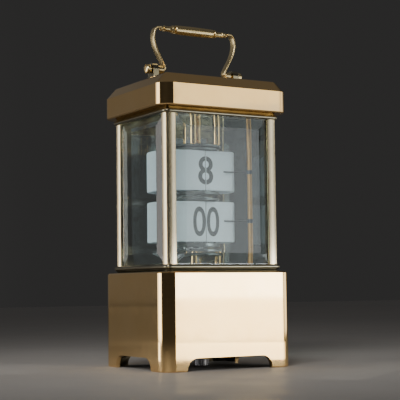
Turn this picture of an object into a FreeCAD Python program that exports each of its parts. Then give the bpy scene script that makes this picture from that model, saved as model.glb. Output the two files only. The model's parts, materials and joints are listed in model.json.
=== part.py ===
import FreeCAD, Part
import math
import os

# A brass four-glass mantel clock. Thin leaves flip like the pages of a book on two drums: the upper
# drum shows the hour and the lower one the minutes. Millimetres, +Z up, the front faces -Y, and the
# origin is on the surface under the middle of the feet.

# ---- case ----
CASE_W = 70.0           # width of the base and of the top, along X
CASE_D = 62.4           # depth, along Y
CORNER_R = 6.0
WALL = 2.4
BASE_TOP = 45.4
FOOT_H = 6.0            # height of the arches between the feet
ARCH_FRONT = 23.0       # half width of the front and rear arches
ARCH_SIDE = 18.0
ARCH_R = 5.5
COVER_Z = 6.6
COVER_T = 1.4

# ---- glazed frame ----
FRAME_X = 30.5          # outer faces of the pillars
FRAME_Y = 26.7
PILLAR = 5.2
PILLAR_OUTER_R = 1.6
PILLAR_SIDE_R = 0.4
DOME_R = 7.4            # the pillars' outer faces are gently domed
DOME_CREST = 2.1        # where the dome is highest, from the inner side
PLATE_OUT = 1.1         # how far the frame plates stand out past the pillars
PLATE_R = 2.6
NECK_WIDE = 0.5
NECK_NARROW = 1.6
NECK_H = 1.1
GROOVE_DEEP = 0.8
PILLAR_Z0 = 48.9
PILLAR_Z1 = 118.9
UPPER_Z = 121.9
GLASS_T = 2.2
GLASS_EDGE = 1.2
GLASS_BEVEL = 5.0
GLASS_IN = 1.0          # how deep a glass sits in the pillars
GROOVE_PLAY = 0.05


# ---- fasteners: the long screws and the small case screws ----
SCREW_R = 0.97
SCREW_CLEAR = 1.05
SCREW_TAP = 1.0
SCREW_HEAD_R = 1.9
CASE_SCREW_R = 0.78
CASE_SCREW_L = 4.6
CASE_SCREW_HEAD = 0.9
CASE_SCREW_CLEAR = 0.85
CASE_SCREW_TAP = 0.8
DOWEL_R = 0.78
COVER_SCREWS = (28.5, 24.5)     # each pair is a distance from the middle along X and along Y
TOP_SCREWS = (15.0, 18.5)
MOVEMENT_SCREWS = (28.0, 14.0)
COVER_BOSS_R = 3.0
COVER_BOSS_TOP = 15.0
RIB_HALF = 0.8
CENTRE_HOLE_R = 6.0             # where the minute pipe passes through the case

# ---- top ----
BAND_TOP = 132.8
ROOF_Z = 137.5
ROOF_IN = 4.8
ROOF_T = 3.0
TOP_FLOOR = 2.2
MOUTH_W = 46.0          # opening in the cover's floor
MOUTH_D = 32.0

# ---- handle ----
PIVOT_Z = 143.8
GRIP_Z = 164.5
GRIP_HALF = 19.2
LUG_X0 = 21.2
LUG_X1 = 24.2
LUG_R = 2.9
BRACKET_X = (LUG_X0 + LUG_X1) / 2
BRACKET_SCREW_Y = 3.4
PIVOT_R = 0.97
PIVOT_PLAY = 0.06
ARM_HALF_T = 0.42
ARM_HALF_W = 2.0
ARM_BOSS_R = 2.0

# ---- rear door ----
HINGE_X = 23.5
HINGE_Y = 25.2
HINGE_R = 0.6
DOOR_HALF = 25.0
DOOR_Z0 = 49.2
DOOR_Z1 = 118.6
DOOR_Y0 = 23.7
DOOR_BAR = 3.4
REBATE_Y = (24.75, 26.05)
REBATE_DEEP = 0.9
KNOB_X = -DOOR_HALF + DOOR_BAR / 2
KNOB_Z = 83.0

# ---- drums ----
RING_R = 9.2            # circle of the leaf wires
WIRE_R = 0.12
LEAF_W = 14.6
LEAF_T = 0.06
LEAF_OFF = 0.17         # a leaf hangs beside its wire, not on its axis
DISC_R = 11.2
BRIDGE_R = 12.2
HOUR_COUNT = 48
MINUTE_COUNT = 60
HOUR_LEAF = (84.9, 104.2)
MINUTE_LEAF = (60.1, 79.5)
ARBOR_R = 0.8
PIPE_R = 1.5
PLAY = 0.04
ROD_X = 22.8
ROD_Y = -13.0
ROD_R = 1.2
FINGER_Z = (94.2, 70.2)
POSTS = [(sx * 6.6, sy * 9.3) for sx in (-1, 1) for sy in (-1, 1)]
POST_R = 1.6
TOP_BRIDGE_Z = 106.1
LOW_BRIDGE_Z = 55.2
BRIDGE_T = 1.2
# Each disc is its bottom, its top and the far end of its hub.
HOUR_DISCS = ((83.0, 84.3, 82.4), (104.7, 105.6, 105.9))
MINUTE_DISCS = ((57.8, 59.4, 57.0), (80.2, 81.3, 79.6))
WIRE_SINK = 0.3
FINGER_R = 0.3

# ---- movement ----
LOWER_PLATE_Z = 10.5
UPPER_PLATE_Z = 36.5
PLATE_T = 1.5
PLATE_X = 31.0
PLATE_Y = 21.0
PIVOT = 0.5
MOVEMENT_POST_R = 2.0
BARREL_AT = (-16.8, 0.0)
THIRD_AT = (12.686, 4.617)
FOURTH_AT = (17.998, -4.585)
ESCAPE_AT = (19.670, -14.064)
LEVER_AT = (14.40, -15.00)
BALANCE_AT = (6.00, -16.50)
MINUTE_WHEEL_AT = (0.0, -8.4)
SETTING_AT = (-5.940, -14.340)
AXIS = (0.0, 0.0)
CLICK_AT = (-26.0, 9.4)
CLICK_TURN = 112.0      # where the beak meets the ratchet wheel, in degrees round the barrel
BARREL_TEETH = 72
CENTRE_PINION = 12
CENTRE_TEETH = 80
THIRD_PINION = 10
THIRD_TEETH = 75
FOURTH_PINION = 10
FOURTH_TEETH = 70
ESCAPE_PINION = 7
CANNON_TEETH = 12
MINUTE_TEETH = 36
MINUTE_PINION = 10
HOUR_TEETH = 40
SETTING_TEETH = 12
M_BARREL = 0.4
M_CENTRE = 0.3
M_THIRD = 0.25
M_CANNON = 0.35
M_HOUR = 0.336


def box(x0, x1, y0, y1, z0, z1):
    return Part.makeBox(x1 - x0, y1 - y0, z1 - z0, FreeCAD.Vector(x0, y0, z0))


def cyl(x, y, z0, z1, radius):
    return Part.makeCylinder(radius, z1 - z0, FreeCAD.Vector(x, y, z0))


def cyl_x(x0, x1, y, z, radius):
    return Part.makeCylinder(radius, x1 - x0, FreeCAD.Vector(x0, y, z), FreeCAD.Vector(1, 0, 0))


def cyl_y(x, y0, y1, z, radius):
    return Part.makeCylinder(radius, y1 - y0, FreeCAD.Vector(x, y0, z), FreeCAD.Vector(0, 1, 0))


def fuse(shapes):
    return shapes[0].multiFuse(shapes[1:]).removeSplitter() if len(shapes) > 1 else shapes[0]


def rounded_wire(width, depth, radius, z):
    hw, hd = width / 2, depth / 2
    cut = radius * (1 - math.sqrt(0.5))
    edges = []
    for sx, sy in ((1, 1), (-1, 1), (-1, -1), (1, -1)):
        middle = FreeCAD.Vector(sx * (hw - cut), sy * (hd - cut), z)
        on_side = FreeCAD.Vector(sx * hw, sy * (hd - radius), z)
        on_end = FreeCAD.Vector(sx * (hw - radius), sy * hd, z)
        first, last = (on_side, on_end) if sx * sy > 0 else (on_end, on_side)
        edges.append((first, middle, last))
    parts = []
    for i, (first, middle, last) in enumerate(edges):
        parts.append(Part.Arc(first, middle, last).toShape())
        parts.append(Part.LineSegment(last, edges[(i + 1) % 4][0]).toShape())
    return Part.Wire(parts)


def rounded_slab(width, depth, radius, z0, z1):
    face = Part.Face(rounded_wire(width, depth, radius, z0))
    return face.extrude(FreeCAD.Vector(0, 0, z1 - z0))


def rounded_stack(width, depth, radius, levels):
    """A solid through rounded rectangles: each level is (inset, z)."""
    wires = [rounded_wire(width - 2 * inset, depth - 2 * inset, radius - inset, z) for inset, z in levels]
    return Part.makeLoft(wires, True, True)


def revolve(points, base, axis):
    """A solid of revolution: points are (distance along the axis, radius)."""
    turn = FreeCAD.Rotation(FreeCAD.Vector(0, 0, 1), axis)
    outline = [FreeCAD.Vector(r, 0, a) for a, r in points]
    outline = [FreeCAD.Vector(0, 0, points[0][0])] + outline + [FreeCAD.Vector(0, 0, points[-1][0])]
    clean = [outline[0]]
    for point in outline[1:]:
        if (point - clean[-1]).Length > 1e-6:
            clean.append(point)
    wire = Part.makePolygon(clean + [clean[0]])
    solid = Part.Face(wire).revolve(FreeCAD.Vector(0, 0, 0), FreeCAD.Vector(0, 0, 1), 360)
    solid.Placement = FreeCAD.Placement(base, turn)
    return solid


def screw(x, y, z_head, z_tip, radius, head_r, head_h, slot=0.35):
    """A slotted cheese-head screw along Z, with its head's outer face at z_head."""
    way = 1 if z_tip > z_head else -1
    neck = z_head + way * head_h
    low_head, high_head = min(z_head, neck), max(z_head, neck)
    low_shank, high_shank = min(neck, z_tip), max(neck, z_tip)
    body = cyl(x, y, low_head, high_head, head_r).fuse(cyl(x, y, low_shank, high_shank, radius))
    depth = head_h * 0.45
    z0 = z_head if way > 0 else z_head - depth
    return body.cut(box(x - head_r, x + head_r, y - slot / 2, y + slot / 2, z0, z0 + depth))


def corners(x, y):
    return [(sx * x, sy * y) for sx in (-1, 1) for sy in (-1, 1)]


def pillar_places():
    return corners(FRAME_X - PILLAR / 2, FRAME_Y - PILLAR / 2)


# ---------------------------------------------------------------- case


def arch_cutter(half_width, along_y):
    tall = 2 * FOOT_H
    block = box(-half_width, half_width, -CASE_W, CASE_W, -FOOT_H, tall - FOOT_H)
    edges = [e for e in block.Edges if abs(e.Vertexes[0].Point.z - FOOT_H) < 1e-6
             and abs(e.Vertexes[1].Point.z - FOOT_H) < 1e-6 and e.Length > CASE_W]
    block = block.makeFillet(ARCH_R, edges)
    if not along_y:
        block.rotate(FreeCAD.Vector(0, 0, 0), FreeCAD.Vector(0, 0, 1), 90)
    return block


def make_base_shell():
    levels = [(0.5, 0), (0, 0.5), (0, BASE_TOP - 0.6), (0.6, BASE_TOP)]
    outer = rounded_stack(CASE_W, CASE_D, CORNER_R, levels)
    inner = rounded_slab(CASE_W - 2 * WALL, CASE_D - 2 * WALL, CORNER_R - WALL, -1, BASE_TOP - WALL)
    shell = outer.cut(inner)
    low, high = COVER_Z + COVER_T, COVER_BOSS_TOP
    bosses = []
    for x, y in corners(*COVER_SCREWS):
        sx, sy = math.copysign(1, x), math.copysign(1, y)
        x_pair = sorted((x, sx * (CASE_W / 2 - 1)))
        y_pair = sorted((y, sy * (CASE_D / 2 - 1)))
        bosses.append(cyl(x, y, low, high, COVER_BOSS_R))
        bosses.append(box(x_pair[0], x_pair[1], y - RIB_HALF, y + RIB_HALF, low, high))
        bosses.append(box(x - RIB_HALF, x + RIB_HALF, y_pair[0], y_pair[1], low, high))
    shell = fuse([shell] + bosses)
    shell = shell.cut(arch_cutter(ARCH_FRONT, True)).cut(arch_cutter(ARCH_SIDE, False))
    below, above = BASE_TOP - WALL - 1, BASE_TOP + 1
    holes = [cyl(0, 0, below, above, CENTRE_HOLE_R)]
    holes += [cyl(x, y, COVER_Z, COVER_BOSS_TOP - 2, CASE_SCREW_TAP) for x, y in corners(*COVER_SCREWS)]
    holes += [cyl(x, y, below, above, SCREW_CLEAR) for x, y in pillar_places()]
    for x, y in corners(*MOVEMENT_SCREWS):
        holes += [cyl(x, y, below, above, SCREW_CLEAR), cyl(x, y, BASE_TOP - 1.0, above, SCREW_HEAD_R + 0.15)]
    return shell.cut(fuse(holes))


def make_bottom_cover():
    z0, z1 = COVER_Z, COVER_Z + COVER_T
    plate = rounded_slab(CASE_W - 2 * WALL - 0.2, CASE_D - 2 * WALL - 0.2, CORNER_R - WALL - 0.2, z0, z1)
    holes = [cyl(x, y, z0 - 1, z1 + 1, CASE_SCREW_CLEAR) for x, y in corners(*COVER_SCREWS)]
    holes.append(cyl(*BARREL_AT, z0 - 1, z1 + 1, 2.2))
    holes.append(cyl(*SETTING_AT, z0 - 1, z1 + 1, 1.3))
    return plate.cut(fuse(holes))


def make_frame_plate(upper):
    """A plate with round edges that holds the ends of the pillars, and a sloping neck next to the case."""
    width, depth = 2 * (FRAME_X + PLATE_OUT), 2 * (FRAME_Y + PLATE_OUT)
    if upper:
        z0, z1 = PILLAR_Z1, UPPER_Z - NECK_H
        neck_levels = [(NECK_WIDE, z1 - 0.3), (NECK_NARROW, UPPER_Z)]
        inner = PILLAR_Z1
        way = 1
    else:
        z0, z1 = BASE_TOP + NECK_H, PILLAR_Z0
        neck_levels = [(NECK_WIDE, BASE_TOP), (NECK_NARROW, z0 + 0.3)]
        inner = PILLAR_Z0
        way = -1
    neck = rounded_stack(width, depth, PLATE_R, neck_levels)
    plate = rounded_slab(width, depth, PLATE_R, z0, z1)
    level_edges = [e for e in plate.Edges if abs(e.Vertexes[0].Point.z - e.Vertexes[-1].Point.z) < 1e-6]
    plate = plate.makeFillet((z1 - z0) / 2 - 0.05, level_edges).fuse(neck)
    g0, g1 = sorted((inner - way * 0.1, inner + way * GROOVE_DEEP))
    tools = [glass_block(side, g0, g1, GROOVE_PLAY) for side in ("front", "left", "right")]
    tools += [cyl(x, y, z0 - 5, z1 + 5, SCREW_CLEAR) for x, y in pillar_places()]
    p0, p1 = sorted((inner - way * 0.1, inner + way * 1.2))
    tools.append(cyl(HINGE_X, HINGE_Y, p0, p1, HINGE_R))
    tools += [cyl(x, y, p0, p1, CASE_SCREW_TAP) for x, y in POSTS + [(ROD_X, ROD_Y)]]
    if upper:
        for x, y in corners(*TOP_SCREWS):
            tools.append(cyl(x, y, z0 - 1, UPPER_Z + 1, CASE_SCREW_CLEAR))
            tools.append(cyl(x, y, z0 - 1, PILLAR_Z1 + CASE_SCREW_HEAD, 1.55))
    else:
        tools.append(cyl(0, 0, BASE_TOP - 1, z1 + 1, CENTRE_HOLE_R))
    return plate.cut(fuse(tools))


def glass_block(side, z0, z1, play):
    """The space that a glass's thin edge takes in a groove."""
    e = GLASS_EDGE
    if side == "front":
        y1 = -FRAME_Y + GLASS_T
        half = FRAME_X - PILLAR + GLASS_IN
        return box(-half - play, half + play, y1 - e - play, y1 + play, z0, z1)
    half = FRAME_Y - PILLAR + GLASS_IN
    x1 = FRAME_X - GLASS_T
    x0, x1 = (x1 - play, x1 + e + play) if side == "right" else (-x1 - e - play, -x1 + play)
    return box(x0, x1, -half - play, half + play, z0, z1)


def bevelled_glass(half, z0, z1):
    """A plate with its back on y=0 and a wide ground bevel round its outer face, toward -y."""
    high = z1 - z0
    mid = z0 + high / 2

    def ring(inset, y):
        w, h = half - inset, high / 2 - inset
        pts = [(-w, -h), (w, -h), (w, h), (-w, h), (-w, -h)]
        return Part.makePolygon([FreeCAD.Vector(px, y, mid + pz) for px, pz in pts])

    body = Part.makeLoft([ring(0, 0), ring(0, -GLASS_EDGE)], True, True)
    bevel = Part.makeLoft([ring(GLASS_IN, -GLASS_EDGE), ring(GLASS_BEVEL + GLASS_IN, -GLASS_T)], True, True)
    return body.fuse(bevel)


def make_glass(side):
    z0, z1 = PILLAR_Z0 - 0.7, PILLAR_Z1 + 0.7
    if side == "front":
        glass = bevelled_glass(FRAME_X - PILLAR + GLASS_IN, z0, z1)
        glass.translate(FreeCAD.Vector(0, -FRAME_Y + GLASS_T, 0))
        return glass
    glass = bevelled_glass(FRAME_Y - PILLAR + GLASS_IN, z0, z1)
    turn = 90 if side == "right" else -90
    glass.rotate(FreeCAD.Vector(0, 0, 0), FreeCAD.Vector(0, 0, 1), turn)
    shift = FRAME_X - GLASS_T
    glass.translate(FreeCAD.Vector(shift if side == "right" else -shift, 0, 0))
    return glass


def domed_bar(sx, sy):
    """A square bar with two flat inner sides and two domed outer ones, with round outer edges."""
    x_in, y_in = FRAME_X - PILLAR, FRAME_Y - PILLAR

    def height(u):
        return PILLAR - DOME_R + math.sqrt(DOME_R ** 2 - (u - DOME_CREST) ** 2)

    def point(u, v):
        return FreeCAD.Vector(sx * (x_in + u), sy * (y_in + v), PILLAR_Z0)

    # The domes meet where height(k) == k, which is a quadratic in k.
    half_b = DOME_R - PILLAR - DOME_CREST
    c = (DOME_R - PILLAR) ** 2 + DOME_CREST ** 2 - DOME_R ** 2
    k = (-half_b + math.sqrt(half_b ** 2 - 2 * c)) / 2
    inner, side_x, meet, side_y = point(0, 0), point(height(0), 0), point(k, k), point(0, height(0))
    edges = [Part.makeLine(inner, side_x),
             Part.Arc(side_x, point(PILLAR, DOME_CREST), meet).toShape(),
             Part.Arc(meet, point(DOME_CREST, PILLAR), side_y).toShape(),
             Part.makeLine(side_y, inner)]
    bar = Part.Face(Part.Wire(edges)).extrude(FreeCAD.Vector(0, 0, PILLAR_Z1 - PILLAR_Z0))

    def upright_edges(shape, place):
        return [e for e in shape.Edges if e.Length > PILLAR_Z1 - PILLAR_Z0 - 1
                and math.hypot(e.Vertexes[0].Point.x - place.x, e.Vertexes[0].Point.y - place.y) < 1e-3]

    bar = bar.makeFillet(PILLAR_OUTER_R, upright_edges(bar, meet))
    for place in (side_x, side_y):
        bar = bar.makeFillet(PILLAR_SIDE_R, upright_edges(bar, place))
    return bar


def make_pillar(sx, sy):
    """A domed bar with grooves for the glasses."""
    bar = domed_bar(sx, sy)
    below, above = PILLAR_Z0 - 1, PILLAR_Z1 + 1
    tools = [glass_block("right" if sx > 0 else "left", below, above, GROOVE_PLAY)]
    if sy < 0:
        tools.append(glass_block("front", below, above, GROOVE_PLAY))
    cx, cy = sx * (FRAME_X - PILLAR / 2), sy * (FRAME_Y - PILLAR / 2)
    tools += [cyl(cx, cy, below, PILLAR_Z0 + 6, SCREW_TAP), cyl(cx, cy, PILLAR_Z1 - 6, above, SCREW_TAP)]
    return bar.cut(fuse(tools))


def make_pillar_screws():
    solids = []
    head = 1.2
    for x, y in pillar_places():
        solids.append(screw(x, y, BASE_TOP - WALL - head, PILLAR_Z0 + 5, SCREW_R, SCREW_HEAD_R, head))
        solids.append(screw(x, y, UPPER_Z + head, PILLAR_Z1 - 5, SCREW_R, SCREW_HEAD_R, head))
    return Part.makeCompound(solids)


def make_top_cover():
    levels = [(0.5, UPPER_Z), (0, UPPER_Z + 0.5), (0, BAND_TOP - 0.6), (0.6, BAND_TOP)]
    levels += [(ROOF_IN - 0.6, ROOF_Z - 0.5), (ROOF_IN, ROOF_Z)]
    outer = rounded_stack(CASE_W, CASE_D, CORNER_R, levels)
    in_w, in_d, in_r = CASE_W - 2 * WALL, CASE_D - 2 * WALL, CORNER_R - WALL
    cavity = rounded_slab(in_w, in_d, in_r, UPPER_Z + TOP_FLOOR, BAND_TOP)
    upper = rounded_stack(in_w, in_d, in_r, [(0, BAND_TOP - 0.1), (2.0, ROOF_Z - ROOF_T)])
    mouth = rounded_slab(MOUTH_W, MOUTH_D, 3, UPPER_Z - 1, UPPER_Z + 3)
    cover = outer.cut(fuse([cavity, upper, mouth]))
    holes = [cyl(x, y, UPPER_Z - 1, UPPER_Z + 2.0, CASE_SCREW_TAP) for x, y in corners(*TOP_SCREWS)]
    roof = (BAND_TOP, ROOF_Z + 1)
    holes += [cyl(x, y, *roof, CASE_SCREW_CLEAR) for x, y in corners(BRACKET_X, BRACKET_SCREW_Y)]
    ends = [cyl(x, y, UPPER_Z - 1, UPPER_Z + 3, SCREW_HEAD_R + 0.2) for x, y in pillar_places()]
    return cover.cut(fuse(holes + ends))


def make_case_screws():
    """Twelve alike: four hold the top cover, four the handle brackets and four the bottom cover."""
    head = CASE_SCREW_HEAD
    places = [(x, y, PILLAR_Z1) for x, y in corners(*TOP_SCREWS)]
    places += [(x, y, ROOF_Z - ROOF_T - head) for x, y in corners(BRACKET_X, BRACKET_SCREW_Y)]
    places += [(x, y, COVER_Z - head) for x, y in corners(*COVER_SCREWS)]
    screws = [screw(x, y, z, z + CASE_SCREW_L, CASE_SCREW_R, 1.5, head) for x, y, z in places]
    return Part.makeCompound(screws)


# ---------------------------------------------------------------- handle


def make_brackets():
    solids = []
    for sx in (-1, 1):
        x0, x1 = sorted((sx * LUG_X0, sx * LUG_X1))
        foot = box(x0 - 0.9, x1 + 0.9, -5.2, 5.2, ROOF_Z, ROOF_Z + 1.0)
        corner_edges = [e for e in foot.Edges if abs(e.Length - 1.0) < 1e-6]
        foot = foot.makeFillet(1.2, corner_edges)
        lug = box(x0, x1, -LUG_R, LUG_R, ROOF_Z + 0.5, PIVOT_Z).fuse(cyl_x(x0, x1, 0, PIVOT_Z, LUG_R))
        hole = cyl_x(x0 - 1, x1 + 1, 0, PIVOT_Z, PIVOT_R + PIVOT_PLAY)
        z0, z1 = ROOF_Z - 1, ROOF_Z + 0.8
        taps = [cyl(sx * BRACKET_X, sy * BRACKET_SCREW_Y, z0, z1, CASE_SCREW_TAP) for sy in (-1, 1)]
        solids.append(fuse([foot, lug]).cut(hole).cut(fuse(taps)))
    return Part.makeCompound(solids)


def make_grip():
    """Turned grip: a gently swelling barrel, a groove and collar at each end, a neck and a bead."""
    end = [(0.0, 0.0), (0.0, 0.55), (0.2, 0.95), (0.6, 1.2), (1.1, 1.25), (1.6, 1.05), (1.85, 0.8),
           (2.2, 0.8), (2.3, 1.45), (2.8, 1.55), (3.1, 1.4), (3.3, 1.25), (5.4, 1.35), (6.6, 1.6),
           (6.9, 1.95), (7.5, 2.05), (7.85, 1.85), (7.9, 1.35), (8.4, 1.35), (8.5, 2.0), (8.8, 2.2)]
    half = [(GRIP_HALF - inset, radius) for inset, radius in end]
    barrel = [(x, 2.2 + 0.18 * (1 - (x / 10.4) ** 2)) for x in (8, 6, 4, 2, 0)]
    inward = half + barrel
    points = [(-x, r) for x, r in inward] + list(reversed(inward[:-1]))
    return revolve(points, FreeCAD.Vector(0, 0, GRIP_Z), FreeCAD.Vector(1, 0, 0))


def make_arm(sx):
    """A flat strap bent to an S in the XZ plane, with a round boss on the pivot line."""
    path = [(18.9, 164.6), (20.6, 164.7), (21.9, 163.9), (22.7, 161.9), (22.9, 159.4), (22.3, 156.0),
            (21.0, 152.8), (19.4, 149.9), (18.0, 147.4), (17.1, 145.6), (17.2, 144.1), (18.2, 143.6)]
    curve = Part.BSplineCurve()
    curve.interpolate([FreeCAD.Vector(x, 0, z) for x, z in path])
    steps = 40
    first, last = curve.FirstParameter, curve.LastParameter
    sides = ([], [])
    for i in range(steps + 1):
        t = first + (last - first) * i / steps
        at = curve.value(t)
        along = curve.tangent(t)[0]
        normal = FreeCAD.Vector(along.z, 0, -along.x)
        sides[0].append(at + normal * ARM_HALF_T)
        sides[1].append(at - normal * ARM_HALF_T)
    edges = []
    for side in sides:
        spline = Part.BSplineCurve()
        spline.interpolate(side)
        edges.append(spline.toShape())
    edges.append(Part.LineSegment(sides[0][0], sides[1][0]).toShape())
    edges.append(Part.LineSegment(sides[0][-1], sides[1][-1]).toShape())
    wire = Part.Wire(Part.sortEdges(edges)[0])
    strap = Part.Face(wire).extrude(FreeCAD.Vector(0, 2 * ARM_HALF_W, 0))
    strap.translate(FreeCAD.Vector(0, -ARM_HALF_W, 0))
    boss = cyl_x(17.3, LUG_X0 - 0.5, 0, PIVOT_Z, ARM_BOSS_R)
    arm = strap.fuse(boss).cut(cyl_x(17.9, LUG_X0, 0, PIVOT_Z, PIVOT_R + 0.01))
    arm = arm.cut(cyl_x(18.0, GRIP_HALF + 0.01, 0, GRIP_Z, 1.3))
    if sx < 0:
        arm = arm.mirror(FreeCAD.Vector(0, 0, 0), FreeCAD.Vector(1, 0, 0))
    return arm


def make_pivot_screws():
    solids = []
    for sx in (-1, 1):
        shank = cyl_x(18.1, LUG_X1 + 0.7, 0, PIVOT_Z, PIVOT_R)
        points = [(24.6, 0.0), (24.6, 2.0), (24.8, 2.2), (26.4, 2.2), (26.9, 1.9), (27.15, 1.2), (27.2, 0.0)]
        head = revolve(points, FreeCAD.Vector(0, 0, PIVOT_Z), FreeCAD.Vector(1, 0, 0))
        one = shank.fuse(head).cut(box(26.6, 28, -0.25, 0.25, PIVOT_Z - 3, PIVOT_Z + 3))
        if sx < 0:
            one = one.mirror(FreeCAD.Vector(0, 0, 0), FreeCAD.Vector(1, 0, 0))
        solids.append(one)
    return Part.makeCompound(solids)


# ---------------------------------------------------------------- rear door


def make_door_frame():
    outer = box(-DOOR_HALF, HINGE_X, DOOR_Y0, FRAME_Y, DOOR_Z0, DOOR_Z1)
    outer = outer.fuse(cyl(HINGE_X, HINGE_Y, DOOR_Z0, DOOR_Z1, HINGE_Y - DOOR_Y0))
    window = box(-DOOR_HALF + DOOR_BAR, DOOR_HALF - DOOR_BAR, 20, 30, DOOR_Z0 + DOOR_BAR, DOOR_Z1 - DOOR_BAR)
    deep = DOOR_BAR - REBATE_DEEP
    rebate = box(-DOOR_HALF + deep, DOOR_HALF - deep, *REBATE_Y, DOOR_Z0 + deep, DOOR_Z1 - deep)
    pins = [cyl(HINGE_X, HINGE_Y, DOOR_Z0 - 1, DOOR_Z0 + 2.2, HINGE_R + PLAY),
            cyl(HINGE_X, HINGE_Y, DOOR_Z1 - 2.2, DOOR_Z1 + 1, HINGE_R + PLAY)]
    knob_hole = cyl_y(KNOB_X, 20, 30, KNOB_Z, 0.62)
    return outer.cut(fuse([window, rebate] + pins)).cut(knob_hole)


def make_door_glass():
    edge = DOOR_BAR - REBATE_DEEP + 2 * GROOVE_PLAY
    half = DOOR_HALF - edge
    z0, z1 = DOOR_Z0 + edge, DOOR_Z1 - edge
    glass = bevelled_glass(half, z0, z1)
    glass.rotate(FreeCAD.Vector(0, 0, 0), FreeCAD.Vector(0, 0, 1), 180)
    glass.translate(FreeCAD.Vector(0, REBATE_Y[0] + GROOVE_PLAY, 0))
    return glass


def make_door_knob():
    points = [(24.2, 0.0), (24.2, 0.6), (26.72, 0.6), (26.72, 1.1), (27.3, 1.1), (27.6, 1.9), (28.3, 2.2),
              (29.1, 1.9), (29.5, 1.2), (29.6, 0.0)]
    return revolve(points, FreeCAD.Vector(KNOB_X, 0, KNOB_Z), FreeCAD.Vector(0, 1, 0))


def make_hinge_pins():
    return Part.makeCompound([cyl(HINGE_X, HINGE_Y, PILLAR_Z0 - 1.2, DOOR_Z0 + 2.0, HINGE_R),
                              cyl(HINGE_X, HINGE_Y, DOOR_Z1 - 2.0, PILLAR_Z1 + 1.2, HINGE_R)])


# ---------------------------------------------------------------- drums


def leaf_angle(k, count):
    """Direction of leaf k, in degrees: 0 lies flat to the right, 180 flat to the left."""
    lift = 3.0
    if k == 0:
        return 0.0
    if k == count - 1:
        return 180.0
    return lift + (180.0 - 2 * lift) * (k - 1) / (count - 3)


def wire_at(k, count):
    turn = math.radians(-90 + (k + 0.5) * 360.0 / count)
    return RING_R * math.cos(turn), RING_R * math.sin(turn)


def make_leaf(k, count, z_pair):
    hx, hy = wire_at(k, count)
    side = -1 if k < count / 2 else 1
    low, high = sorted((side * (LEAF_OFF - LEAF_T / 2), side * (LEAF_OFF + LEAF_T / 2)))
    leaf = box(0.2, LEAF_W, low, high, z_pair[0], z_pair[1])
    leaf.rotate(FreeCAD.Vector(0, 0, 0), FreeCAD.Vector(0, 0, 1), leaf_angle(k, count))
    leaf.translate(FreeCAD.Vector(hx, hy, 0))
    return leaf


def make_leaves(count, z_pair):
    return Part.makeCompound([make_leaf(k, count, z_pair) for k in range(1, count)])


def make_wires(count, discs):
    z0, z1 = discs[0][0] + WIRE_SINK, discs[1][1] - WIRE_SINK
    return Part.makeCompound([cyl(*wire_at(k, count), z0, z1, WIRE_R) for k in range(count)])


def make_discs(count, levels, bore):
    solids = []
    for z0, z1, z_hub in levels:
        disc = cyl(0, 0, z0, z1, DISC_R).fuse(cyl(0, 0, min(z0, z_hub), max(z1, z_hub), bore + 1.6))
        holes = [cyl(0, 0, z0 - 10, z1 + 10, bore)]
        holes += [cyl(*wire_at(k, count), z0 - 0.1, z1 + 0.1, WIRE_R) for k in range(count)]
        solids.append(disc.cut(Part.makeCompound(holes)))
    return Part.makeCompound(solids)


def make_bridge(z0, bore, way):
    """A fixed round bearing plate; its posts screw into it from the side given by way."""
    plate = rounded_bridge(z0, z0 + BRIDGE_T)
    inner = z0 + BRIDGE_T if way > 0 else z0
    p0, p1 = sorted((inner + way * 0.1, inner - way * 1.0))
    holes = [cyl(0, 0, z0 - 1, z0 + 5, bore)] + [cyl(x, y, p0, p1, 0.8) for x, y in POSTS]
    return plate.cut(fuse(holes))


def rounded_bridge(z0, z1):
    high = z1 - z0
    points = [(0, 0.0), (0, BRIDGE_R - 0.3), (0.3, BRIDGE_R), (high - 0.3, BRIDGE_R), (high, BRIDGE_R - 0.3)]
    return revolve(points, FreeCAD.Vector(0, 0, z0), FreeCAD.Vector(0, 0, 1))


def make_posts():
    solids = []
    for x, y in POSTS:
        z0, z1 = TOP_BRIDGE_Z + BRIDGE_T, PILLAR_Z1
        solids.append(cyl(x, y, z0, z1, POST_R).fuse(cyl(x, y, z0 - 0.9, z1 + 1.1, DOWEL_R)))
        z0, z1 = PILLAR_Z0, LOW_BRIDGE_Z
        solids.append(cyl(x, y, z0, z1, POST_R).fuse(cyl(x, y, z0 - 1.1, z1 + 0.9, DOWEL_R)))
    return Part.makeCompound(solids)


def make_finger_rod():
    rod = cyl(ROD_X, ROD_Y, PILLAR_Z0, PILLAR_Z1, ROD_R)
    rod = rod.fuse(cyl(ROD_X, ROD_Y, PILLAR_Z0 - 1.1, PILLAR_Z1 + 1.1, DOWEL_R))
    for z in FINGER_Z:
        seat = cyl(ROD_X, ROD_Y, z - 1.0, z + 1.0, 2 * ROD_R).cut(cyl(ROD_X, ROD_Y, z - 1.0, z + 1.0, 0.85))
        rod = rod.cut(seat)
    return rod


def make_finger(z):
    """A collar on the rod and a thin springy wire that bears on the edge of the front leaf."""
    collar = cyl(ROD_X, ROD_Y, z - 0.95, z + 0.95, 1.5).cut(cyl(ROD_X, ROD_Y, z - 2, z + 2, 0.87))
    start = FreeCAD.Vector(ROD_X - 1.2, ROD_Y + 0.3, z)
    bend = FreeCAD.Vector(16.2, -10.15, z)
    tip = FreeCAD.Vector(10.2, -9.85, z)
    solids = [collar]
    for a, b in ((start, bend), (bend, tip)):
        solids.append(Part.makeCylinder(FINGER_R, (b - a).Length, a, b - a))
    solids.append(Part.makeSphere(FINGER_R, bend))
    solids.append(Part.makeSphere(FINGER_R + 0.06, tip))
    return fuse(solids)


# ---------------------------------------------------------------- wheels


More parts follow.
